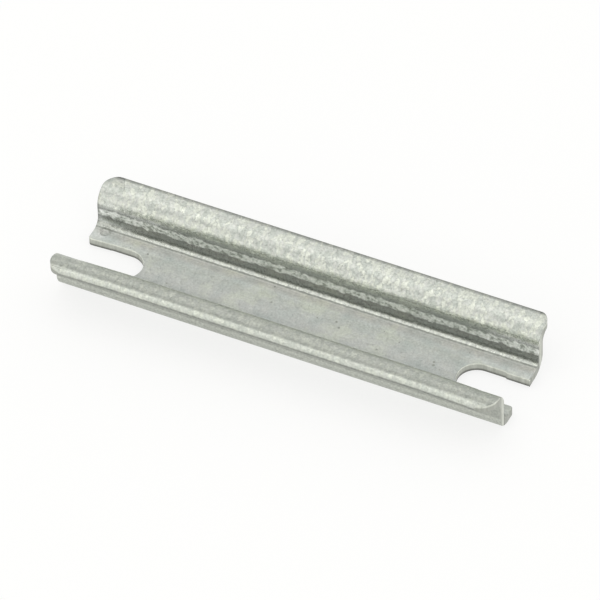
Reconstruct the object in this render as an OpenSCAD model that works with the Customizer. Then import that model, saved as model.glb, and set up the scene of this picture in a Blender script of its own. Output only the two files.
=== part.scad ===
// Miniature top-hat mounting rail, 15 x 5.5 mm profile, roll-formed from galvanised steel strip and cut to
// a short length, with an open-ended screw slot punched into each end of its base.
// The rail lies on its base: X runs along it, Y across it, Z up. The origin is the centre of the underside.
// Each end is the other one turned half round about Z, because the same tool cuts both.

/* [Rail] */
// Cut length of the rail
rail_length = 50; // [40:0.5:120]
// Overall width across both flanges
rail_width = 15; // [14:0.1:18]
// Overall height, from the underside of the base to the top of the flanges
rail_height = 5.5; // [4.5:0.1:8]
// Thickness of the steel strip
sheet = 1; // [0.9:0.05:1.1]
// Radius on the rolled edges of the strip, which are the edges of the flanges
edge_round = 0.35; // [0.1:0.05:0.4]

/* [Hat] */
// Width across the outside of the two webs
hat_width = 10.5; // [9.5:0.1:11]
// Inside radius of the bends between the base and the webs
base_bend = 1; // [0.3:0.05:1.1]
// Inside radius of the bends between the webs and the flanges
flange_bend = 1; // [0.3:0.05:1.1]

/* [Screw slots] */
// Width of the slots, with room for an M4 screw
slot_width = 4.2; // [3.2:0.1:4.4]
// Distance from the end of the rail to the centre of a slot's round end
slot_centre = 5; // [3:0.1:9]

/* [Cut ends] */
// Radius of the corner that the tool cuts wide: front flange at the right-hand end, back flange at the left
wide_corner = 2; // [0.5:0.1:2.2]
// Radius of the corner that the tool cuts tight, on the other flange of each end
tight_corner = 1.5; // [0.5:0.1:2.2]
// Corner radius of the base beside the mouth of a slot
mouth_corner = 0.3; // [0.2:0.05:0.5]

/* [Hidden] */
zinc = "#b9bdb4";
$fn = 64;
over = 1; // how far a cutter runs past the metal
half_length = rail_length / 2;
half_width = rail_width / 2;
half_hat = hat_width / 2;
base_outer = base_bend + sheet; // outside radius of a bend at the base
flange_outer = flange_bend + sheet; // outside radius of a bend at a flange
bend_gap = rail_height - base_outer - flange_outer; // height of the flat of a web
flange_root = half_hat - sheet + flange_outer; // where the flat of a flange starts
flange_tip = half_width - edge_round; // where it ends

// A quarter of a bend, one sheet thick, about its own centre
module bend(inner) {
  intersection() {
    difference() {
      circle(inner + sheet);
      circle(inner);
    }
    square(inner + sheet);
  }
}

// Half the profile, from the middle of the base out to the edge of one flange
module half_profile() {
  square([half_hat - base_outer, sheet]);
  translate([half_hat - base_outer, base_outer]) mirror([0, 1]) bend(base_bend);
  translate([half_hat - sheet, base_outer]) square([sheet, bend_gap]);
  translate([flange_root, rail_height - flange_outer]) mirror([1, 0]) bend(flange_bend);
  translate([flange_root, rail_height - sheet]) square([flange_tip - flange_root, sheet]);
  translate([flange_tip, rail_height - sheet + edge_round]) square([edge_round, sheet - 2 * edge_round]);
  for (level = [edge_round, sheet - edge_round])
    translate([flange_tip, rail_height - level]) circle(edge_round);
}

// The strip as the rolls leave it, cut square to length
module formed_strip() {
  rotate([90, 0, 90]) linear_extrude(rail_length, center = true) {
    half_profile();
    mirror([1, 0]) half_profile();
  }
}

// What is outside a rounded corner whose tip is at the origin and whose metal lies towards -X and -Y
module corner_cutter(radius, height) {
  translate([-radius, -radius, -over]) difference() {
    cube([radius + over, radius + over, height + 2 * over]);
    translate([0, 0, -over]) cylinder(r = radius, h = height + 4 * over);
  }
}

// The punch for a screw slot, with the small corners at its mouth
module slot_punch() {
  translate([half_length - slot_centre, 0, -over]) {
    cylinder(d = slot_width, h = sheet + 2 * over);
    translate([0, -slot_width / 2, 0]) cube([slot_centre + over, slot_width, sheet + 2 * over]);
  }
  for (side = [0, 1]) mirror([0, side, 0])
    translate([half_length, slot_width / 2, 0]) mirror([0, 1, 0]) corner_cutter(mouth_corner, sheet);
}

// All that is cut away at the right-hand end
module end_cuts() {
  slot_punch();
  translate([half_length, half_width, 0]) corner_cutter(tight_corner, rail_height);
  mirror([0, 1, 0]) translate([half_length, half_width, 0]) corner_cutter(wide_corner, rail_height);
}

module rail() {
  color(zinc) difference() {
    formed_strip();
    for (turn = [0, 180]) rotate(turn) end_cuts();
  }
}

rail();
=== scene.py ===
# %% [markdown]
# # A short length of miniature mounting rail
# The real thing is one strip of galvanised steel, 1 mm thick, that rollers have bent into a hat: a flat
# base, two webs that stand up from it and two flanges that turn outwards. A press has then cropped it to
# length, rounded the flange corners and punched a slot into each end of the base.
# This lesson makes it in the same order, as flat strip, bent hat, thick sheet and cropped ends, and then
# spends its effort on the skin, because a plain grey hat looks like a drawing and zinc does not.

# %% Load the frame
import math
import bpy
from mathutils import Matrix, Vector


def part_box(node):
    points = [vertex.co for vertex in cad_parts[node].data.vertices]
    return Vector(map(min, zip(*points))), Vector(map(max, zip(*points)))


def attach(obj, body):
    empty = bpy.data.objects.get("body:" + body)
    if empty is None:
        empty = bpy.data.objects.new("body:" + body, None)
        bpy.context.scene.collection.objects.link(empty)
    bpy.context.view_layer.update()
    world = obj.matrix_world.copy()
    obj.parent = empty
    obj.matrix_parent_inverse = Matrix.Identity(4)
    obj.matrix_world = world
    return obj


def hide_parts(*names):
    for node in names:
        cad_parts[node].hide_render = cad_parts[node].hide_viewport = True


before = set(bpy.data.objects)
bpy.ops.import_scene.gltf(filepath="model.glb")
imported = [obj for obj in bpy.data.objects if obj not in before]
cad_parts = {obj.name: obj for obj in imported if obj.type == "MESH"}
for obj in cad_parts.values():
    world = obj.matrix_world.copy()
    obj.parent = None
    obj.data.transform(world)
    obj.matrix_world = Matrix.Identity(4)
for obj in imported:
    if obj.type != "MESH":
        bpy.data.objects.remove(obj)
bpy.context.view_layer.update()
low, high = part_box("rail")
print("the rail's box in millimetres:", [round((b - a) * 1000, 3) for a, b in zip(low, high)])

# %% [markdown]
# ## Sizes
# Every place on the rail follows from its box and from a few sizes of the section. They could be typed
# where they are used, but named once they can be changed once. Blender works in metres, so MM keeps
# them readable.

# %% Sizes of the section
MM = 0.001
LENGTH, WIDTH, HEIGHT = high - low
SHEET = 1.0 * MM
HAT_WIDTH = 10.5 * MM  # over the outsides of the webs
BASE_BEND = 1.0 * MM  # inside radii of the bends
FLANGE_BEND = 1.0 * MM
ROLLED_EDGE = 0.35 * MM
SLOT_WIDTH = 4.2 * MM
SLOT_CENTRE = 5.0 * MM  # from the end to the middle of the slot's round
WIDE_CORNER = 2.0 * MM
TIGHT_CORNER = 1.5 * MM
MOUTH_CORNER = 0.3 * MM
END = LENGTH / 2
mid_web = (HAT_WIDTH - SHEET) / 2
mid_base = SHEET / 2
mid_flange = HEIGHT - SHEET / 2
print("middle of the sheet: webs at", round(mid_web / MM, 2), "mm, flanges at", round(mid_flange / MM, 2))


# %% [markdown]
# ## Small helpers for modelling
# Operators act on whatever is selected, and the loaded frame arrives selected. So everything is deselected
# first, and each step then picks its own vertices, edges or faces by where they are or which way they face.
# Picking by number would be shorter, but the numbers change with every cut.

# %% Selecting in code
def start_alone():
    if bpy.context.object and bpy.context.object.mode != "OBJECT":
        bpy.ops.object.mode_set(mode="OBJECT")
    bpy.ops.object.select_all(action="DESELECT")


def work_on(piece):
    start_alone()
    piece.select_set(True)
    bpy.context.view_layer.objects.active = piece


def edit_mesh(piece, kind):
    work_on(piece)
    bpy.ops.object.mode_set(mode="EDIT")
    bpy.ops.mesh.select_mode(type=kind)
    bpy.ops.mesh.select_all(action="DESELECT")


def pick(piece, test):
    """Selects what passes test(part) in the select mode that is on, and returns how many there are."""
    kind = ["VERT", "EDGE", "FACE"][list(bpy.context.tool_settings.mesh_select_mode).index(True)]
    bpy.ops.mesh.select_all(action="DESELECT")
    bpy.ops.object.mode_set(mode="OBJECT")
    mesh = piece.data
    parts = {"VERT": mesh.vertices, "EDGE": mesh.edges, "FACE": mesh.polygons}[kind]
    chosen = 0
    for part in parts:
        part.select = bool(test(part))
        chosen += part.select
    bpy.ops.object.mode_set(mode="EDIT")
    return chosen


def edge_ends(piece, edge):
    return [piece.data.vertices[i].co for i in edge.vertices]


def near(value, target, slack=0.01 * MM):
    return abs(value - target) < slack


def apply_modifier(piece, kind, **settings):
    work_on(piece)
    modifier = piece.modifiers.new(kind.lower(), kind)
    for name, value in settings.items():
        setattr(modifier, name, value)
    bpy.ops.object.modifier_apply(modifier=modifier.name)


start_alone()

# %% [markdown]
# ## The strip, bent into a hat
# On the real rail rollers bend a flat strip and never stretch its middle. The hat could be drawn as a closed
# section and extruded, but then each bend has to be plotted point by point. Here it is drawn as its middle
# surface: a plane becomes the base, its long edges are pulled up into webs and those out into flanges. The
# bends are bevels on the four fold lines, because a bevel on a right angle is a true quarter circle whose
# radius is its offset.

# %% Base, webs and flanges
bpy.ops.mesh.primitive_plane_add(size=1, location=(0, 0, mid_base))
rail = bpy.context.object
rail.name = "rail_strip"
SPARE = 1 * MM  # the strip is longer than the rail until the press crops it
rail.scale = (LENGTH + 2 * SPARE, 2 * mid_web, 1)
bpy.ops.object.transform_apply(location=True, rotation=False, scale=True)


def long_edge(side, height):
    def test(edge):
        return all(near(p.y, side) and near(p.z, height) for p in edge_ends(rail, edge))
    return test


edit_mesh(rail, "EDGE")
for side in (-1, 1):
    pick(rail, long_edge(side * mid_web, mid_base))
    bpy.ops.mesh.extrude_region_move(TRANSFORM_OT_translate={"value": (0, 0, mid_flange - mid_base)})
    bpy.ops.mesh.extrude_region_move(TRANSFORM_OT_translate={"value": (0, side * (WIDTH / 2 - mid_web), 0)})
print("folded strip:", len(rail.data.polygons), "faces before the bends")

# %% The four bends
BEND_STEPS = 20
for height, inner in ((mid_base, BASE_BEND), (mid_flange, FLANGE_BEND)):
    found = pick(rail, lambda e: all(near(abs(p.y), mid_web) and near(p.z, height)
                                     for p in edge_ends(rail, e)))
    bpy.ops.mesh.bevel(offset=inner + SHEET / 2, segments=BEND_STEPS, affect="EDGES", clamp_overlap=False)
    print(found, "fold lines bent at height", round(height / MM, 2))
bpy.ops.object.mode_set(mode="OBJECT")

# %% [markdown]
# ## Thickness and rolled edges
# The sheet is 1 mm thick, and because galvanised strip is slit and then dressed by rollers, the long edges of
# the flanges are round. Solidify grows the sheet half to each side of its middle, which keeps both faces of
# each bend concentric, and a bevel on the four long edges rounds them. It has many segments, since the light
# runs along these edges and a coarse one would show as a dark line.

# %% Thickness
apply_modifier(rail, "SOLIDIFY", thickness=SHEET, offset=0, use_even_offset=True)
edit_mesh(rail, "EDGE")
found = pick(rail, lambda e: all(near(abs(p.y), WIDTH / 2) for p in edge_ends(rail, e))
             and abs(edge_ends(rail, e)[0].x - edge_ends(rail, e)[1].x) > LENGTH / 2)
bpy.ops.mesh.bevel(offset=ROLLED_EDGE, segments=16, affect="EDGES", clamp_overlap=False)
bpy.ops.object.mode_set(mode="OBJECT")
print(found, "flange edges rounded")

# %% [markdown]
# ## The crop and the slots
# One press tool crops the length and rounds the flange corners, wider on one side of each end than on the
# other, and a rod with a half-round nose punches each slot. Corners could be moved vertex by vertex, but
# cutting with solids shaped like the tools gives the true faces at once: a block of the outline keeps the
# metal inside it, and a half cylinder, drawn out past the end of the rail, takes the slot away.

# %% Cutting outline
HAIR = 0.002 * MM  # keeps two cutting faces from lying exactly in each other


def boolean(piece, tool, how):
    apply_modifier(piece, "BOOLEAN", object=tool, operation=how, solver="EXACT")
    bpy.data.objects.remove(tool)


bpy.ops.mesh.primitive_cube_add(size=1, location=(0, 0, HEIGHT / 2))
outline = bpy.context.object
outline.scale = (LENGTH, WIDTH + 2 * HAIR, 4 * HEIGHT)
bpy.ops.object.transform_apply(location=True, rotation=False, scale=True)
edit_mesh(outline, "EDGE")
for turn, radius in ((-1, WIDE_CORNER), (1, TIGHT_CORNER)):
    pick(outline, lambda e: abs(edge_ends(outline, e)[0].z - edge_ends(outline, e)[1].z) > HEIGHT
         and edge_ends(outline, e)[0].x * edge_ends(outline, e)[0].y * turn > 0)
    bpy.ops.mesh.bevel(offset=radius, segments=24, affect="EDGES", clamp_overlap=False)
bpy.ops.object.mode_set(mode="OBJECT")
boolean(rail, outline, "INTERSECT")
print("cropped to", round(rail.dimensions.x / MM, 3), "mm")

# %% Punched slots
for end in (-1, 1):
    nose = end * (END - SLOT_CENTRE)
    bpy.ops.mesh.primitive_cylinder_add(vertices=96, radius=SLOT_WIDTH / 2, depth=3 * SHEET,
                                        location=(nose, 0, mid_base))
    punch = bpy.context.object
    bpy.ops.object.transform_apply(location=True, rotation=False, scale=False)
    edit_mesh(punch, "FACE")
    bpy.ops.mesh.select_all(action="SELECT")
    bpy.ops.mesh.bisect(plane_co=(nose, 0, 0), plane_no=(end, 0, 0), clear_outer=True, use_fill=True)
    pick(punch, lambda f: f.normal.x * end > 0.99)
    bpy.ops.mesh.extrude_region_move(TRANSFORM_OT_translate={"value": (end * (SLOT_CENTRE + SPARE), 0, 0)})
    bpy.ops.object.mode_set(mode="OBJECT")
    boolean(rail, punch, "DIFFERENCE")
print("after the press:", len(rail.data.polygons), "faces")

# %% [markdown]
# ## Mouths of the slots
# Where a slot runs out of the end of the rail, the tool leaves two small corners that are dressed round.
# They are four upright edges, so they are picked by place and bevelled, rather than made part of the punch,
# whose sides would then need the same radius turned inside out.

# %% Mouth corners
edit_mesh(rail, "EDGE")
found = pick(rail, lambda e: all(near(abs(p.x), END) and near(abs(p.y), SLOT_WIDTH / 2)
                                 for p in edge_ends(rail, e)))
bpy.ops.mesh.bevel(offset=MOUTH_CORNER, segments=5, affect="EDGES", clamp_overlap=False)
bpy.ops.object.mode_set(mode="OBJECT")
print(found, "mouth corners rounded")

# %% [markdown]
# ## Not quite straight
# Nothing this thin leaves a press exactly straight. The front leg has sprung inwards by a fifth of a
# millimetre in its middle, and the punch has dragged the far side of each slot a little at its mouth. A curve
# or lattice could bend the whole rail, but only these parts moved. So bisect gives the long faces a few extra
# rings, and the points between them are pushed in steps too small to show as kinks.

# %% Spring of the front leg
# millimetres along the rail
RINGS = (-24.4, -22.45, -22.25, -19.5, -17.0, -14.0, 14.0, 17.0, 19.5, 22.25, 22.45, 24.4)
for ring in RINGS:
    edit_mesh(rail, "FACE")
    bpy.ops.mesh.select_all(action="SELECT")
    bpy.ops.mesh.bisect(plane_co=(ring * MM, 0, 0), plane_no=(1, 0, 0))
edit_mesh(rail, "VERT")
for reach, push in ((22.3, 0.04), (19.6, 0.07), (17.1, 0.07)):
    moved = pick(rail, lambda v: abs(v.co.x) < reach * MM and v.co.y < -4.2 * MM and v.co.z > 3.4 * MM)
    bpy.ops.transform.translate(value=(0, push * MM, 0))
    print("inside", reach, "mm:", moved, "points pushed by", push, "mm")

# %% Dragged mouths
for end, step, drag in ((1, 0.12, 0.34), (-1, 0.04, 0.15)):
    for reach, push in ((22.35, step), (24.3, drag - step)):
        moved = pick(rail, lambda v: v.co.x * end > reach * MM and 2.05 * MM < v.co.y < 2.5 * MM)
        bpy.ops.transform.translate(value=(0, -push * MM, 0))
        print("past", reach, "mm:", moved, "points dragged by", round(push, 2), "mm")
bpy.ops.object.mode_set(mode="OBJECT")

# %% [markdown]
# ## Sheared edges
# A real shear never leaves a perfect edge, and without a small rounding no edge would catch light. It could
# be faked in the material, but a Bevel modifier limited by angle finds all cropped and punched edges by
# itself and gives them a true surface that glints from every side.

# %% Rounding of all sharp edges
SHEARED_EDGE = 0.07 * MM
apply_modifier(rail, "BEVEL", width=SHEARED_EDGE, segments=3, limit_method="ANGLE",
               angle_limit=math.radians(40), use_clamp_overlap=False)
work_on(rail)
bpy.ops.object.shade_smooth_by_angle(angle=math.radians(35))
print("with its edges dressed:", len(rail.data.polygons), "faces")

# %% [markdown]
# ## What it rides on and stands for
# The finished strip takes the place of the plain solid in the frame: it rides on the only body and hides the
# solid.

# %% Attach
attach(rail, "root")
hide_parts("rail")


# %% [markdown]
# ## Helpers for materials
# Colours are easiest to judge as written on a paint card, and Blender works in linear light, so one function
# turns the one into the other. A material is a tree of nodes, and adding a node by hand takes four lines, so
# one function adds it with its settings and its links. A third writes the stops of a colour ramp at
# places in millimetres, because most wear on this rail follows its section.

# %% Colours, nodes and stops
def srgb(code):
    """A colour written as on a paint card, turned to the linear light that Blender works in."""
    channels = [int(code[i:i + 2], 16) / 255 for i in (1, 3, 5)]
    return [c / 12.92 if c <= 0.04045 else ((c + 0.055) / 1.055) ** 2.4 for c in channels] + [1]


def add_node(tree, kind, links=None, **settings):
    """Adds one node, sets its properties, and gives its inputs values or other nodes' outputs."""
    node = tree.nodes.new(kind)
    for name, value in settings.items():
        setattr(node, name, value)
    for name, source in (links or {}).items():
        socket = node.inputs[name]
        if isinstance(source, bpy.types.NodeSocket):
            tree.links.new(source, socket)
        else:
            socket.default_value = source
    return node


def set_stops(ramp, stops, start=0.0, end=1.0):
    """Writes a ramp's stops as (place, colour or brightness), with places that run from start to end."""
    dots = ramp.color_ramp.elements
    while len(dots) > 1:
        dots.remove(dots[0])
    for number, (place, colour) in enumerate(stops):
        share = (place - start) / (end - start)
        dot = dots[0] if number == 0 else dots.new(share)
        dot.position = share
        dot.color = srgb(colour) if isinstance(colour, str) else (colour, colour, colour, 1)
    return ramp.outputs["Color"]


EVEN = (1, 1, 1, 1)  # multiplies by nothing

# %% [markdown]
# ## Galvanised steel: where on the section
# The strip is hot-dip galvanised: it ran through molten zinc before it was bent. To the eye that is a pale,
# slightly greenish grey metal with a cloudy grain of crystals. Over that the colour carries painted shade,
# painted highlights and painted reflections in lanes that follow the section, so the skin changes from place
# to place. Each lane could be a piece of its own with its own material, but the lanes have soft, ragged
# borders. So one material works out where on the section it is, from Object coordinates in millimetres, and
# every layer below reads that.

# %% Place on the rail
zinc = bpy.data.materials.new("galvanised_steel")
zinc.use_nodes = True
tree = zinc.node_tree
skin = tree.nodes["Principled BSDF"]
skin.inputs["Metallic"].default_value = 1
place = add_node(tree, "ShaderNodeTexCoord").outputs["Object"]
in_mm = add_node(tree, "ShaderNodeVectorMath", {0: place, 1: (1 / MM,) * 3}, operation="MULTIPLY").outputs[0]
x_mm, y_mm, z_mm = add_node(tree, "ShaderNodeSeparateXYZ", {0: in_mm}).outputs
off_middle = add_node(tree, "ShaderNodeMath", {0: y_mm}, operation="ABSOLUTE").outputs[0]
TIP, EDGE, TOP = END / MM, WIDTH / 2 / MM, HEIGHT / MM
along = add_node(tree, "ShaderNodeMapRange", {"Value": x_mm, "From Min": -TIP, "From Max": TIP}).outputs[0]
side = add_node(tree, "ShaderNodeMapRange", {"Value": y_mm, "From Min": -EDGE, "From Max": EDGE}).outputs[0]
rise = add_node(tree, "ShaderNodeMapRange", {"Value": z_mm, "From Max": TOP}).outputs[0]
print("the skin reads a rail of", round(2 * TIP, 2), "x", round(2 * EDGE, 2), "x", round(TOP, 2), "mm")

# %% Zones of the section
inner = add_node(tree, "ShaderNodeMath", {0: off_middle, 1: 4.78}, operation="LESS_THAN").outputs[0]
over_sheet = add_node(tree, "ShaderNodeMath", {0: z_mm, 1: 0.9}, operation="GREATER_THAN").outputs[0]
in_hat = add_node(tree, "ShaderNodeMath", {0: inner, 1: over_sheet}, operation="MULTIPLY").outputs[0]
on_floor = add_node(tree, "ShaderNodeMath", {0: z_mm, 1: 1.08}, operation="LESS_THAN").outputs[0]
base_top = add_node(tree, "ShaderNodeMath", {0: in_hat, 1: on_floor}, operation="MULTIPLY").outputs[0]
upper = add_node(tree, "ShaderNodeMapRange", {"Value": z_mm, "From Min": 3.6, "From Max": 4.4}).outputs[0]
web_zone = set_stops(add_node(tree, "ShaderNodeValToRGB", {"Fac": rise}),
                     [(1.5, 0), (1.6, 1), (3.6, 1), (3.8, 0)], end=TOP)
web_zone = add_node(tree, "ShaderNodeMath", {0: web_zone, 1: in_hat}, operation="MULTIPLY").outputs[0]

# %% [markdown]
# ## Painted dark lanes
# On each web two dark lanes run the length of the rail, painted shade and painted dark reflection, with a
# strip of pale blotches between them; the lanes are also glossier. Stripes of fixed width would look printed.
# Here the height that the lanes read is shaken by a noise of about one millimetre, so their borders wander
# and sometimes meet, and the lanes fade towards the left end.

# %% Lanes with ragged borders
drawn_out = add_node(tree, "ShaderNodeVectorMath", {0: in_mm, 1: (0.8, 1.0, 1.0)},
                     operation="MULTIPLY").outputs[0]
cloud = add_node(tree, "ShaderNodeTexNoise", {"Vector": drawn_out, "Scale": 1.6, "Detail": 3.0,
                                              "Roughness": 0.6})
shake = add_node(tree, "ShaderNodeMapRange", {"Value": cloud.outputs["Fac"], "To Min": -0.5,
                                              "To Max": 0.5}).outputs[0]
shaken = add_node(tree, "ShaderNodeMath", {0: z_mm, 1: shake}, operation="ADD").outputs[0]
shaken = add_node(tree, "ShaderNodeMath", {0: shaken, 1: TOP}, operation="DIVIDE").outputs[0]
# Painted shade: the bands above and below the blotchy strip are where the dark lanes go.
shaded_band = set_stops(add_node(tree, "ShaderNodeValToRGB", {"Fac": shaken}),
                   [(2.34, 1), (2.48, 0), (3.2, 0), (3.36, 1)], end=TOP)
reach = set_stops(add_node(tree, "ShaderNodeValToRGB", {"Fac": rise}),
                  [(1.16, 0), (1.2, 1), (4.1, 1), (4.4, 0)], end=TOP)
lane = add_node(tree, "ShaderNodeMath", {0: shaded_band, 1: reach}, operation="MULTIPLY").outputs[0]
lane = add_node(tree, "ShaderNodeMath", {0: lane, 1: in_hat}, operation="MULTIPLY").outputs[0]
print("lanes:", len(tree.nodes), "nodes so far")

# %% How dark the lanes are
# Painted shade: how dark the lanes are at each height, lighter low down near the left end.
depth = set_stops(add_node(tree, "ShaderNodeValToRGB", {"Fac": rise}),
                  [(1.25, 1), (1.32, 0.9), (1.39, 0.66), (1.46, 0.5), (1.65, 0.4), (1.9, 0.43), (2.3, 0.4),
                   (3.4, 0.45), (3.64, 0.62), (3.9, 1)], end=TOP)
left_end = add_node(tree, "ShaderNodeMapRange", {"Value": x_mm, "From Min": -24.5, "From Max": -19.0,
                                                 "To Min": 1.0, "To Max": 0.0}).outputs[0]
low_down = add_node(tree, "ShaderNodeMapRange", {"Value": z_mm, "From Min": 1.5, "From Max": 2.2,
                                                 "To Min": 1.0, "To Max": 0.0}).outputs[0]
left_end_fade = add_node(tree, "ShaderNodeMath", {0: left_end, 1: low_down}, operation="MULTIPLY").outputs[0]
depth = add_node(tree, "ShaderNodeMix", {0: left_end_fade, 6: depth, 7: (0.78, 0.78, 0.78, 1)},
                 data_type="RGBA").outputs[2]
painted_lane_shade = add_node(tree, "ShaderNodeMix", {0: lane, 6: EVEN, 7: depth}, data_type="RGBA").outputs[2]

# %% [markdown]
# ## Painted light and shade along the section
# The sharp fold at the foot of each web has a painted highlight with a line of painted shade under it, the
# top bends carry painted highlights, the flanges carry painted shade, and the outer edges of the flanges,
# slit by knives, are darker on their lower half. All of these follow the section, so each is a ramp over
# height or width, which multiplies the colour. One more, over length, darkens the left tip of the hat. A fine
# noise frays the fold line, since a drawn line would be too even.

# %% Fold line at the foot of the web
# Painted highlight and painted shade at the foot of each web, painted highlights on the top bends, and the
# base a little lighter.
fray = add_node(tree, "ShaderNodeTexNoise", {"Vector": in_mm, "Scale": 2.5, "Detail": 2.0}).outputs["Fac"]
frayed = add_node(tree, "ShaderNodeMath", {0: fray, 1: 0.08, 2: z_mm}, operation="MULTIPLY_ADD").outputs[0]
frayed = add_node(tree, "ShaderNodeMapRange", {"Value": frayed, "From Min": 0.04,
                                               "From Max": TOP + 0.04}).outputs[0]
painted_fold_light = set_stops(add_node(tree, "ShaderNodeValToRGB", {"Fac": frayed}),
                   [(1.0, 0.9), (1.08, 0.92), (1.115, 0.66), (1.165, 0.66), (1.2, 1.12), (1.32, 1.12),
                    (1.4, 1), (3.72, 1), (4.0, 1.22), (4.15, 1.16), (4.3, 1.08), (4.55, 1.08),
                    (4.75, 1)], end=TOP)
off_floor = add_node(tree, "ShaderNodeMath", {0: z_mm, 1: 1.01}, operation="GREATER_THAN").outputs[0]
painted_fold_light = add_node(tree, "ShaderNodeMix", {0: off_floor, 6: (1.03, 1.03, 1.03, 1), 7: painted_fold_light},
                  data_type="RGBA").outputs[2]
painted_fold_light = add_node(tree, "ShaderNodeMix", {0: in_hat, 6: EVEN, 7: painted_fold_light}, data_type="RGBA").outputs[2]
print("fold line:", len(tree.nodes), "nodes so far")

# %% Painted shade on the flanges and flange bends
# Painted shade: the front flange darker than the back one, darker bands on both flange bends, a dark line
# where a groove runs near the front edge, and darkening towards both outer edges.
painted_flange_shade = set_stops(add_node(tree, "ShaderNodeValToRGB", {"Fac": side}),
                 [(-7.3, 1.03), (-7.08, 0.92), (-6.95, 0.76), (-6.84, 0.6), (-6.63, 0.6), (-6.45, 0.69),
                  (-6.2, 0.74), (-5.85, 0.75), (-5.4, 0.85), (-5.15, 0.84), (-4.9, 0.76), (-4.75, 1),
                  (4.6, 1),
                  (4.84, 0.93), (5.03, 0.82), (5.25, 0.91), (5.6, 1), (5.9, 0.94), (6.77, 0.97), (6.87, 0.9),
                  (6.95, 0.74), (7.1, 0.56), (7.3, 0.47)], start=-EDGE, end=EDGE)
at_slit = add_node(tree, "ShaderNodeMath", {0: off_middle, 1: 7.08}, operation="GREATER_THAN").outputs[0]
slit = set_stops(add_node(tree, "ShaderNodeValToRGB", {"Fac": rise}),
                 [(4.52, 0.56), (4.62, 0.46), (4.9, 0.47), (5.02, 0.86), (5.14, 1)], end=TOP)
slit = add_node(tree, "ShaderNodeMix", {0: at_slit, 6: EVEN, 7: slit}, data_type="RGBA").outputs[2]

# %% Outsides of the webs, with painted light and shade
outer = add_node(tree, "ShaderNodeMath", {0: off_middle, 1: 4.6}, operation="GREATER_THAN").outputs[0]
below = add_node(tree, "ShaderNodeMath", {0: z_mm, 1: 3.6}, operation="LESS_THAN").outputs[0]
outer = add_node(tree, "ShaderNodeMath", {0: outer, 1: below}, operation="MULTIPLY").outputs[0]
# Painted light of the white paper that the lower outsides of the webs mirror, and painted shade just under
# the flanges.
painted_flank_light = set_stops(add_node(tree, "ShaderNodeValToRGB", {"Fac": rise}),
                   [(0.3, 1.08), (1.2, 1.1), (1.5, 1.06), (1.85, 1.2), (2.02, 1.2), (2.14, 0.98), (2.4, 0.94),
                    (3.4, 1)], end=TOP)
painted_flank_light = add_node(tree, "ShaderNodeMix", {0: outer, 6: EVEN, 7: painted_flank_light}, data_type="RGBA").outputs[2]
# Darkens the last quarter millimetre of the left tip of the webs.
tips = set_stops(add_node(tree, "ShaderNodeValToRGB", {"Fac": along}),
                 [(-25.0, 0.55), (-24.86, 0.6), (-24.76, 1)], start=-TIP, end=TIP)
standing = add_node(tree, "ShaderNodeMath", {0: z_mm, 1: 1.3}, operation="GREATER_THAN").outputs[0]
standing = add_node(tree, "ShaderNodeMath", {0: standing, 1: in_hat}, operation="MULTIPLY").outputs[0]
tips = add_node(tree, "ShaderNodeMix", {0: standing, 6: EVEN, 7: tips}, data_type="RGBA").outputs[2]

# %% [markdown]
# ## Spangle
# Zinc freezes into flat crystals, and here they are small, about half a millimetre along the rail and longer
# across it, because the strip ran fast. Each crystal leans its own way, so it mirrors another part of the
# room than its neighbour. Painted patches alone would look the same from every side, so each cell of a
# Voronoi pattern is also tilted a little, and a noise warps the cells, since straight borders would look cut.

# %% Crystals
CRYSTAL = (0.42, 0.75, 0.75)  # millimetres along the rail, across it and up
TILT = 0.06  # millimetres of relief for one crystal's lean
warp = add_node(tree, "ShaderNodeTexNoise", {"Vector": in_mm, "Scale": 1.8, "Detail": 5.0, "Roughness": 0.7})
warped = add_node(tree, "ShaderNodeVectorMath", {0: warp.outputs["Color"], 1: (0.9,) * 3, 2: in_mm},
                  operation="MULTIPLY_ADD").outputs[0]
cells = add_node(tree, "ShaderNodeVectorMath", {0: warped, 1: tuple(1 / size for size in CRYSTAL)},
                 operation="MULTIPLY").outputs[0]
crystals = add_node(tree, "ShaderNodeTexVoronoi", {"Vector": cells, "Scale": 1.0})
dice = add_node(tree, "ShaderNodeSeparateColor", {0: crystals.outputs["Color"]}).outputs[0]
print("spangle of", CRYSTAL, "mm")

# %% Lean of each crystal
from_middle = add_node(tree, "ShaderNodeVectorMath", {0: cells, 1: crystals.outputs["Position"]},
                       operation="SUBTRACT").outputs[0]
lean = add_node(tree, "ShaderNodeVectorMath", {0: crystals.outputs["Color"], 1: (0.5,) * 3},
                operation="SUBTRACT").outputs[0]
facet = add_node(tree, "ShaderNodeVectorMath", {0: from_middle, 1: lean},
                 operation="DOT_PRODUCT").outputs["Value"]
tilted = add_node(tree, "ShaderNodeBump", {"Height": facet, "Strength": 1.0, "Distance": TILT * MM})
wave = add_node(tree, "ShaderNodeTexNoise", {"Vector": in_mm, "Scale": 0.5, "Detail": 3.0}).outputs["Fac"]
wavy = add_node(tree, "ShaderNodeBump", {"Height": wave, "Strength": 1.0, "Distance": 0.12 * MM,
                                         "Normal": tilted.outputs["Normal"]})

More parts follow.
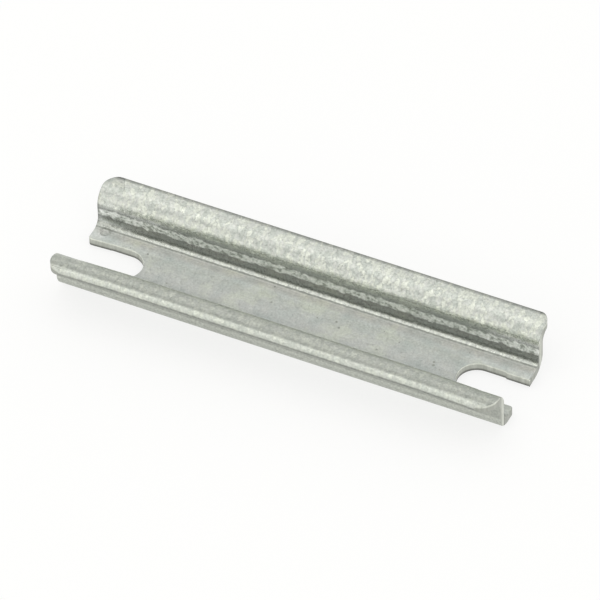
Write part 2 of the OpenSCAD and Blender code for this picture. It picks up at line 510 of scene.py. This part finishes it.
# %% Colours of the crystals
ashes = add_node(tree, "ShaderNodeTexNoise", {"Vector": cells, "Scale": 1.3, "Detail": 4.0,
                                              "Roughness": 0.65})
mixed = add_node(tree, "ShaderNodeMath", {0: dice, 1: 0.45, 2: ashes.outputs["Fac"]},
                 operation="MULTIPLY_ADD").outputs[0]
mixed = add_node(tree, "ShaderNodeMapRange", {"Value": mixed, "From Min": 0.3, "From Max": 1.15}).outputs[0]
grains = set_stops(add_node(tree, "ShaderNodeValToRGB", {"Fac": mixed}),
                   [(0.1, "#b4b9b2"), (0.35, "#c8cdc6"), (0.5, "#cfd0cc"), (0.65, "#d8dcd0"),
                    (0.9, "#eff1e6")])
ground = add_node(tree, "ShaderNodeMix", {0: upper, 6: srgb("#c7cac2"), 7: srgb("#d0d4c9")},
                  data_type="RGBA").outputs[2]
bold = add_node(tree, "ShaderNodeMapRange", {"Value": upper, "To Min": 0.22, "To Max": 0.78}).outputs[0]
front = add_node(tree, "ShaderNodeMapRange", {"Value": y_mm, "From Min": -4.7, "From Max": -4.2,
                                              "To Min": 0.6, "To Max": 1.0}).outputs[0]
bold = add_node(tree, "ShaderNodeMath", {0: bold, 1: front}, operation="MULTIPLY").outputs[0]
tone = add_node(tree, "ShaderNodeMix", {0: bold, 6: ground, 7: grains}, data_type="RGBA").outputs[2]

# %% [markdown]
# ## Webs and base
# Between its dark lanes the web keeps a strip of pale blotches, painted reflection of the base that the web
# mirrors, and the base is the calmest surface, a soft grey with hardly any spangle, clouds some millimetres
# wide and a few pinholes where the zinc did not take.
# One noise for everything would make them all look alike, so each has its own. The pinholes are the cells of
# a flat Voronoi pattern, kept only where a cell's own dice allow, plus a few placed ones.

# %% Blotches on the web
painted_blotch_reflection = add_node(tree, "ShaderNodeTexNoise", {"Vector": drawn_out, "Scale": 2.2, "Detail": 3.0,
                                               "Roughness": 0.6})
painted_blotch_reflection = set_stops(add_node(tree, "ShaderNodeValToRGB", {"Fac": painted_blotch_reflection.outputs["Fac"]}),
                   [(0.37, "#b2b6ae"), (0.44, "#dee2dc"), (0.54, "#eef0eb"), (0.66, "#fafcf8")])
web_tone = add_node(tree, "ShaderNodeMix", {0: lane, 6: painted_blotch_reflection, 7: srgb("#e2e6df")},
                    data_type="RGBA").outputs[2]
tone = add_node(tree, "ShaderNodeMix", {0: web_zone, 6: tone, 7: web_tone}, data_type="RGBA").outputs[2]

# %% Clouds on the base, and painted light towards the back web
# Painted light: the base gets lighter towards the back web.
painted_base_light = set_stops(add_node(tree, "ShaderNodeValToRGB", {"Fac": side}),
                        [(-1.0, "#c8cbc8"), (-0.6, "#ced0cd"), (0.0, "#d3d5d2"), (1.4, "#d5d8d4"),
                         (2.0, "#d9dcd7"), (2.6, "#e3e6e3"), (3.2, "#e4e4e0"), (3.5, "#e4e4df")],
                        start=-EDGE, end=EDGE)
clouds = add_node(tree, "ShaderNodeTexNoise", {"Vector": in_mm, "Scale": 0.35, "Detail": 4.0,
                                               "Roughness": 0.6})
clouds = set_stops(add_node(tree, "ShaderNodeValToRGB", {"Fac": clouds.outputs["Fac"]}),
                   [(0.36, "#ebeeed"), (0.5, "#f3f3f2"), (0.64, "#fafbf4")])
base_tone = add_node(tree, "ShaderNodeMix", {0: 1.0, 6: painted_base_light, 7: clouds}, data_type="RGBA",
                     blend_type="MULTIPLY").outputs[2]
tone = add_node(tree, "ShaderNodeMix", {0: base_top, 6: tone, 7: base_tone}, data_type="RGBA").outputs[2]

# %% Pinholes in the zinc
specks = add_node(tree, "ShaderNodeTexVoronoi", {"Vector": in_mm, "Scale": 0.55}, voronoi_dimensions="2D")
chance = add_node(tree, "ShaderNodeSeparateColor", {0: specks.outputs["Color"]}).outputs[0]
size = add_node(tree, "ShaderNodeMapRange", {"Value": chance, "From Min": 0.6, "From Max": 1.0,
                                             "To Min": 0.0, "To Max": 0.07}).outputs[0]
holes = add_node(tree, "ShaderNodeMath", {0: specks.outputs["Distance"], 1: size},
                 operation="LESS_THAN").outputs[0]
SPECKS = ((15.1, 0.3, 0.13), (15.22, -0.1, 0.15), (-18.3, 2.3, 0.1), (-4.3, 3.4, 0.1), (4.2, 0.74, 0.13))
for x, y, radius in SPECKS:  # millimetres
    away = add_node(tree, "ShaderNodeVectorMath", {0: in_mm, 1: (x, y, 1.0)},
                    operation="DISTANCE").outputs["Value"]
    hole = add_node(tree, "ShaderNodeMath", {0: away, 1: radius}, operation="LESS_THAN").outputs[0]
    holes = add_node(tree, "ShaderNodeMath", {0: holes, 1: hole}, operation="MAXIMUM").outputs[0]
holes = add_node(tree, "ShaderNodeMath", {0: holes, 1: base_top}, operation="MULTIPLY").outputs[0]
print(len(SPECKS), "placed pinholes beside the scattered ones")
tone = add_node(tree, "ShaderNodeMix", {0: holes, 6: tone, 7: srgb("#a9aca5")}, data_type="RGBA").outputs[2]

# %% [markdown]
# ## Marks of handling
# At the left end something has knocked a small ring into the base, and a tool has scored the back flange and
# rubbed the corner beyond the score grey. The ring is relief, so it is a bump over the distance from
# its middle. The score is as thin as a hair, so it is drawn as a line of painted shade beside a line of
# painted highlight.

# %% A knock and a score
KNOCK = (-23.75, 3.25, 1.0)  # millimetres, the middle of the ring
away = add_node(tree, "ShaderNodeVectorMath", {0: in_mm, 1: KNOCK}, operation="DISTANCE").outputs["Value"]
ring = set_stops(add_node(tree, "ShaderNodeValToRGB", {"Fac": away}),
                 [(0.0, 0.1), (0.28, 0), (0.48, 1), (0.7, 0)])
knocked = add_node(tree, "ShaderNodeBump", {"Height": ring, "Strength": 1.0, "Distance": 0.09 * MM,
                                            "Normal": wavy.outputs["Normal"]})
tree.links.new(knocked.outputs["Normal"], skin.inputs["Normal"])
slanted = add_node(tree, "ShaderNodeMath", {0: y_mm, 1: 0.47, 2: x_mm}, operation="MULTIPLY_ADD").outputs[0]
slanted = add_node(tree, "ShaderNodeMapRange", {"Value": slanted, "From Min": -21.0,
                                                "From Max": -19.0}).outputs[0]
# The score: painted shade and a painted highlight side by side, with the grey corner beyond.
score = set_stops(add_node(tree, "ShaderNodeValToRGB", {"Fac": slanted}),
                  [(-20.2, 0.86), (-19.92, 0.86), (-19.86, 0.76), (-19.79, 0.76),
                   (-19.73, 1.1), (-19.63, 1.1), (-19.55, 1)], start=-21.0, end=-19.0)
scored = add_node(tree, "ShaderNodeMapRange", {"Value": y_mm, "From Min": 5.5, "From Max": 5.8}).outputs[0]
score = add_node(tree, "ShaderNodeMix", {0: scored, 6: EVEN, 7: score}, data_type="RGBA").outputs[2]

# %% [markdown]
# ## Colour and gloss together
# The layers multiply each other like glazes, so a lane stays darker whatever crystal it crosses; most of them
# are painted light and shade. A last fine noise gives the grit of the zinc, drawn a little coarser than it is
# so that it shows. The dark painted lanes are also the smoothest and mirror the room, the flanges lie
# between, and the base and the outsides of the webs are the dullest.

# %% Glazes
grit = add_node(tree, "ShaderNodeTexNoise", {"Vector": in_mm, "Scale": 4.0, "Detail": 2.0, "Roughness": 0.6})
coarse = add_node(tree, "ShaderNodeMapRange", {"Value": grit.outputs["Fac"], "From Min": 0.3, "From Max": 0.7,
                                               "To Min": 0.84, "To Max": 1.16}).outputs[0]
fine = add_node(tree, "ShaderNodeMapRange", {"Value": grit.outputs["Fac"], "From Min": 0.3, "From Max": 0.7,
                                             "To Min": 0.91, "To Max": 1.09}).outputs[0]
grit = add_node(tree, "ShaderNodeMix", {0: base_top, 2: coarse, 3: fine}, data_type="FLOAT").outputs[0]
for glaze in (painted_lane_shade, painted_fold_light, painted_flange_shade, slit, painted_flank_light, tips, score, grit):
    tone = add_node(tree, "ShaderNodeMix", {0: 1.0, 6: tone, 7: glaze}, data_type="RGBA",
                    blend_type="MULTIPLY").outputs[2]
tree.links.new(tone, skin.inputs["Base Color"])
dull = add_node(tree, "ShaderNodeMapRange", {"Value": upper, "To Min": 0.62, "To Max": 0.38}).outputs[0]
gloss = add_node(tree, "ShaderNodeMix", {0: lane, 2: dull, 3: 0.2}, data_type="FLOAT").outputs[0]
tree.links.new(gloss, skin.inputs["Roughness"])
rail.data.materials.append(zinc)
print("galvanised steel:", len(tree.nodes), "nodes")

# %% [markdown]
# ## Sheared steel
# The press cuts through the zinc, so the ends, the flange corners and the walls of the slots are bare steel.
# The cut faces carry fine streaks along the way of the punch and a painted highlight along their top edge,
# the slot walls are darker towards their foot, and the end faces are banded lighter and darker across their
# width.
# A second material does this with ramps over height and width, and goes only on the cut faces, which are
# found by where they are.

# %% Bare cut metal
sheared = bpy.data.materials.new("sheared_steel")
sheared.use_nodes = True
tree = sheared.node_tree
skin = tree.nodes["Principled BSDF"]
skin.inputs["Metallic"].default_value = 1
skin.inputs["Roughness"].default_value = 0.45
place = add_node(tree, "ShaderNodeTexCoord").outputs["Object"]
in_mm = add_node(tree, "ShaderNodeVectorMath", {0: place, 1: (1 / MM,) * 3}, operation="MULTIPLY").outputs[0]
x_mm, y_mm, z_mm = add_node(tree, "ShaderNodeSeparateXYZ", {0: in_mm}).outputs
off_middle = add_node(tree, "ShaderNodeMath", {0: y_mm}, operation="ABSOLUTE").outputs[0]
through = add_node(tree, "ShaderNodeMapRange", {"Value": z_mm, "From Max": 1.0}).outputs[0]
# Slot walls: darker towards the foot, with a painted highlight along the top edge.
wall = set_stops(add_node(tree, "ShaderNodeValToRGB", {"Fac": through}),
                 [(0.2, 0.22), (0.32, 0.44), (0.42, 0.56), (0.82, 0.6), (0.9, 0.95)])
across = add_node(tree, "ShaderNodeMapRange", {"Value": off_middle, "From Max": EDGE}).outputs[0]
end_face = set_stops(add_node(tree, "ShaderNodeValToRGB", {"Fac": across}),
                     [(2.2, 0.5), (4.1, 0.5), (4.25, 0.36), (4.31, 0.36), (4.38, 0.76), (4.88, 0.76),
                      (4.98, 0.55), (5.3, 0.5)], end=EDGE)
# The bright band above 0.9 mm on the slot walls is a painted highlight.
print("bare steel on cuts, burnished above", 0.9, "mm of the base")

# %% Painted highlight and streaks of the cut
painted_cut_highlight = add_node(tree, "ShaderNodeMapRange", {"Value": z_mm, "From Min": 5.08, "From Max": 5.22,
                                            "To Min": 1.0, "To Max": 1.6}).outputs[0]
end_face = add_node(tree, "ShaderNodeMix", {0: 1.0, 6: end_face, 7: painted_cut_highlight}, data_type="RGBA",
                    blend_type="MULTIPLY").outputs[2]
in_slot = add_node(tree, "ShaderNodeMath", {0: off_middle, 1: 2.15}, operation="LESS_THAN").outputs[0]
tone = add_node(tree, "ShaderNodeMix", {0: in_slot, 6: end_face, 7: wall}, data_type="RGBA").outputs[2]
drawn_up = add_node(tree, "ShaderNodeVectorMath", {0: in_mm, 1: (1.0, 1.0, 0.15)},
                    operation="MULTIPLY").outputs[0]
streaks = add_node(tree, "ShaderNodeTexNoise", {"Vector": drawn_up, "Scale": 2.0, "Detail": 4.0,
                                                "Roughness": 0.7})
streaks = set_stops(add_node(tree, "ShaderNodeValToRGB", {"Fac": streaks.outputs["Fac"]}),
                    [(0.35, "#d8dcd0"), (0.5, "#ecefe4"), (0.65, "#fafdf2")])
tone = add_node(tree, "ShaderNodeMix", {0: 1.0, 6: tone, 7: streaks}, data_type="RGBA",
                blend_type="MULTIPLY").outputs[2]
tree.links.new(tone, skin.inputs["Base Color"])
rail.data.materials.append(sheared)


# %% Which faces are cuts
def is_cut(face):
    middle, way = face.center / MM, face.normal
    end_face = abs(way.x) > 0.9 and abs(middle.x) > 24.8
    corner = abs(middle.y) > 5.4 and abs(middle.x) > 22.9 and abs(way.z) < 0.2 and abs(way.y) < 0.999
    slot_wall = abs(middle.y) < 2.5 and middle.z < 1.01 and abs(way.z) < 0.9
    return end_face or corner or slot_wall


edit_mesh(rail, "FACE")
found = pick(rail, is_cut)
rail.active_material_index = 1
bpy.ops.object.material_slot_assign()
bpy.ops.object.mode_set(mode="OBJECT")
print("cut faces:", found)

# %% [markdown]
# ## White table
# The rail lies on white paper, which is what its undersides and webs mirror. A plain white plane would turn
# grey with the light, so to the eye and to mirrors it shows mostly as paper white, three parts in four, and
# the rest is a matt surface that keeps the rail's soft shadow.

# %% Paper on the table
bpy.ops.mesh.primitive_plane_add(size=4, location=(0, 0, -0.02 * MM))
floor = bpy.context.object
floor.name = "floor"
paper = bpy.data.materials.new("white_paper")
paper.use_nodes = True
tree = paper.node_tree
tree.nodes.clear()
matt = add_node(tree, "ShaderNodeBsdfDiffuse", {"Color": srgb("#fafaf8")})
glow = add_node(tree, "ShaderNodeEmission", {"Color": EVEN, "Strength": 1.0})
ray = add_node(tree, "ShaderNodeLightPath").outputs
seen = add_node(tree, "ShaderNodeMath", {0: ray["Is Camera Ray"], 1: ray["Is Glossy Ray"]},
                operation="MAXIMUM").outputs[0]
seen = add_node(tree, "ShaderNodeMath", {0: seen, 1: ray["Is Transmission Ray"]},
                operation="MAXIMUM").outputs[0]
PAPER_WHITE = 0.75  # three parts in four
share = add_node(tree, "ShaderNodeMath", {0: seen, 1: PAPER_WHITE}, operation="MULTIPLY").outputs[0]
both = add_node(tree, "ShaderNodeMixShader", {0: share, 1: matt.outputs[0], 2: glow.outputs[0]})
add_node(tree, "ShaderNodeOutputMaterial", {"Surface": both.outputs[0]})
floor.data.materials.append(paper)
print("paper", floor.dimensions.x, "m wide")

# %% [markdown]
# ## The room
# A metal shows what stands round it, so the room is part of the finish. It is a pale room of even light that
# a mirror sees as a white screen, a little greyer near the horizon, where a real screen ends. That grey is
# what draws the steep parts of the bends. From low down the camera sees the same screen behind the paper.

# %% Room and screen
world = bpy.data.worlds.new("studio")
bpy.context.scene.world = world
world.use_nodes = True
tree = world.node_tree
tree.nodes.clear()
ray = add_node(tree, "ShaderNodeLightPath").outputs
seen = add_node(tree, "ShaderNodeMath", {0: ray["Is Camera Ray"], 1: ray["Is Glossy Ray"]},
                operation="MAXIMUM").outputs[0]
seen = add_node(tree, "ShaderNodeMath", {0: seen, 1: ray["Is Transmission Ray"]},
                operation="MAXIMUM").outputs[0]
direction = add_node(tree, "ShaderNodeTexCoord").outputs["Generated"]
direction = add_node(tree, "ShaderNodeSeparateXYZ", {0: direction})
climb = add_node(tree, "ShaderNodeMapRange", {"Value": direction.outputs["Z"], "From Min": 0.1,
                                              "From Max": 0.7})
walls = add_node(tree, "ShaderNodeMix", {0: climb.outputs[0], 6: srgb("#d4d5d4"), 7: srgb("#ffffff")},
                 data_type="RGBA").outputs[2]
screen = add_node(tree, "ShaderNodeBackground", {"Color": walls, "Strength": 1.0})
light = add_node(tree, "ShaderNodeBackground", {"Color": srgb("#f8f8f6"), "Strength": 1.0})
both = add_node(tree, "ShaderNodeMixShader", {0: seen, 1: light.outputs[0], 2: screen.outputs[0]})
add_node(tree, "ShaderNodeOutputWorld", {"Surface": both.outputs[0]})


# %% [markdown]
# ## Two soft boxes
# The lamps are large soft boxes, one overhead and a low one in front, and they are the bright runs along
# the bends. Small lamps would give hard glints. Their strength is worked out from how much
# brighter than the room each should look in the metal, so it can be set by eye.

# %% Soft boxes
def soft_box(name, centre, size, extra, colour):
    """A rectangular lamp that faces the rail. With extra at 1, it looks twice as bright as the room."""
    lamp = bpy.data.lights.new(name, "AREA")
    lamp.shape = "RECTANGLE"
    lamp.size, lamp.size_y = size
    lamp.color = srgb(colour)[:3]
    lamp.energy = 4 * extra * size[0] * size[1]
    box = bpy.data.objects.new(name, lamp)
    bpy.context.scene.collection.objects.link(box)
    box.location = centre
    box.rotation_euler = Vector(centre).to_track_quat("Z", "Y").to_euler()
    print(name, "gives", round(lamp.energy, 2), "W")


soft_box("overhead_box", (-0.3, 0.03, 0.8), (1.2, 0.56), 0.30, "#fffef8")
soft_box("front_box", (-0.45, -1.0, 0.42), (1.3, 0.55), 0.42, "#fffdf6")

# %% [markdown]
# ## Camera
# The rail is small, so the camera looks at it from close to a metre away with a long lens, from the front
# right and half way up, and is very slightly tilted. A tracking constraint can't tilt, so the camera's three
# axes are worked out and given to it as a matrix.

# %% Long lens, close up
AZIMUTH, ELEVATION, ROLL = math.radians(26.6), math.radians(45.2), math.radians(-1.65)
DISTANCE = 792 * MM
LENS = 464.84  # focal length, for a sensor 36 mm wide
AIM = (0.133 * MM, 2.801 * MM)  # the view's middle, right of and above the origin
towards = Vector((math.sin(AZIMUTH) * math.cos(ELEVATION), -math.cos(AZIMUTH) * math.cos(ELEVATION),
                  math.sin(ELEVATION)))
level_right = Vector((math.cos(AZIMUTH), math.sin(AZIMUTH), 0))
right = math.cos(ROLL) * level_right + math.sin(ROLL) * towards.cross(level_right)
up = towards.cross(right)
camera_data = bpy.data.cameras.new("camera")
camera_data.sensor_width = 36
camera_data.lens = LENS
camera = bpy.data.objects.new("camera", camera_data)
bpy.context.scene.collection.objects.link(camera)
camera.location = right * AIM[0] + up * AIM[1] + towards * DISTANCE
camera.rotation_euler = Matrix((right, up, towards)).transposed().to_euler()
bpy.context.scene.camera = camera
bpy.context.scene.view_settings.view_transform = "Standard"
print("camera at", [round(v, 3) for v in camera.location])
